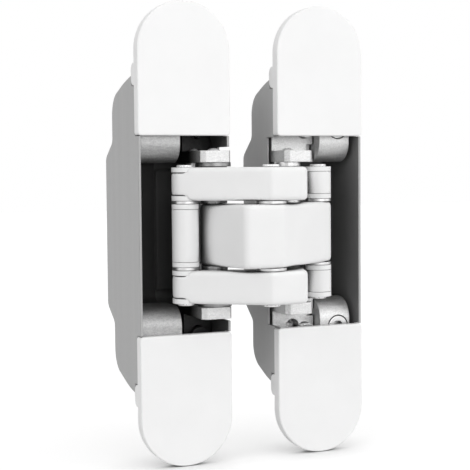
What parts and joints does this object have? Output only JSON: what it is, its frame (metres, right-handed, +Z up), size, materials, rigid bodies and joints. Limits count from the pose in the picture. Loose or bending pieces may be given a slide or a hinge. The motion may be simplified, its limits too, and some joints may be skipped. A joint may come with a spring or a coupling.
{
  "type": "concealed door hinge",
  "caption": "Concealed door hinge with round-ended leaves, clip-on covers and crossed folding arms, shown fully open.",
  "frame": {"origin": "middle of the frame leaf's screw pattern, in the plane of its seat behind the flange", "axes": "+X from the frame leaf across the gap to the door leaf, +Y into the frame, +Z up along the leaves"},
  "size_m": [0.071, 0.0504, 0.134],
  "materials": {
    "cover_white": "smooth satin white lacquer",
    "arm_white": "satin white lacquer on die-cast arms",
    "cast_grey": "satin grey die cast",
    "block_steel": "bare, lightly grained",
    "pin_steel": "turned",
    "screw_steel": "turned",
    "washer_steel": "turned",
    "bush_white": "moulded, satin"
  },
  "bodies": {
    "frame_leaf": {"frame_housing": "cast_grey", "frame_cover_upper": "cover_white", "frame_cover_lower": "cover_white", "frame_bracket_upper": "block_steel", "frame_bracket_lower": "block_steel", "frame_block_upper": "block_steel", "frame_block_lower": "block_steel", "frame_block_screws": "screw_steel", "frame_bracket_screws": "screw_steel", "frame_arm_pin": "pin_steel", "frame_link_pin": "pin_steel", "frame_arm_spacers": "washer_steel", "frame_link_spacers": "washer_steel"},
    "middle_arm": {"arm_middle": "arm_white", "door_knuckle_pin": "pin_steel", "crossing_washers": "washer_steel", "door_knuckle_washers": "washer_steel"},
    "outer_arms": {"arm_upper": "arm_white", "arm_lower": "arm_white", "crossing_pin": "pin_steel", "frame_knuckle_pin": "pin_steel", "frame_knuckle_washers": "washer_steel", "arm_upper_bushes": "bush_white", "arm_lower_bushes": "bush_white"},
    "frame_link": {"link_middle": "arm_white", "link_middle_bushes": "bush_white"},
    "door_links": {"link_upper": "arm_white", "link_lower": "arm_white", "link_upper_bushes": "bush_white", "link_lower_bushes": "bush_white"},
    "door_leaf": {"door_housing": "cast_grey", "door_cover_upper": "cover_white", "door_cover_lower": "cover_white", "door_bracket_upper": "block_steel", "door_bracket_lower": "block_steel", "door_block_upper": "block_steel", "door_block_lower": "block_steel", "door_block_screws": "screw_steel", "door_bracket_screws": "screw_steel", "door_set_screw": "screw_steel", "door_arm_pin": "pin_steel", "door_link_pin": "pin_steel", "door_arm_spacers": "washer_steel", "door_link_spacers": "washer_steel"}
  },
  "joints": [
    {"name": "frame_pivot", "type": "hinge", "parent": "frame_leaf", "child": "middle_arm", "pos_m": [0.0097, -0.0008, 0], "axis": [0, 0, 1], "range_deg": [-110.31, 0]},
    {"name": "arm_crossing", "type": "hinge", "parent": "middle_arm", "child": "outer_arms", "pos_m": [0.0215, -0.0154, 0], "axis": [0, 0, 1], "range_deg": [-0.05, 40.66]},
    {"name": "door_pivot", "type": "hinge", "parent": "outer_arms", "child": "door_leaf", "pos_m": [0.0333, -0.0008, 0], "axis": [0, 0, 1], "range_deg": [-110.36, 0.05]},
    {"name": "frame_link_pivot", "type": "hinge", "parent": "outer_arms", "child": "frame_link", "pos_m": [0.0003, -0.0022, 0], "axis": [0, 0, 1], "range_deg": [-30.66, 0.05]},
    {"name": "door_link_pivot", "type": "hinge", "parent": "middle_arm", "child": "door_links", "pos_m": [0.0427, -0.0022, 0], "axis": [0, 0, 1], "range_deg": [-0.05, 30.66]}
  ],
  "couplings": [
    {"joint": "arm_crossing", "follows": "frame_pivot", "ratio": -0.36817},
    {"joint": "door_pivot", "follows": "frame_pivot", "ratio": 1},
    {"joint": "frame_link_pivot", "follows": "frame_pivot", "ratio": 0.27746},
    {"joint": "door_link_pivot", "follows": "frame_pivot", "ratio": -0.27746}
  ]
}
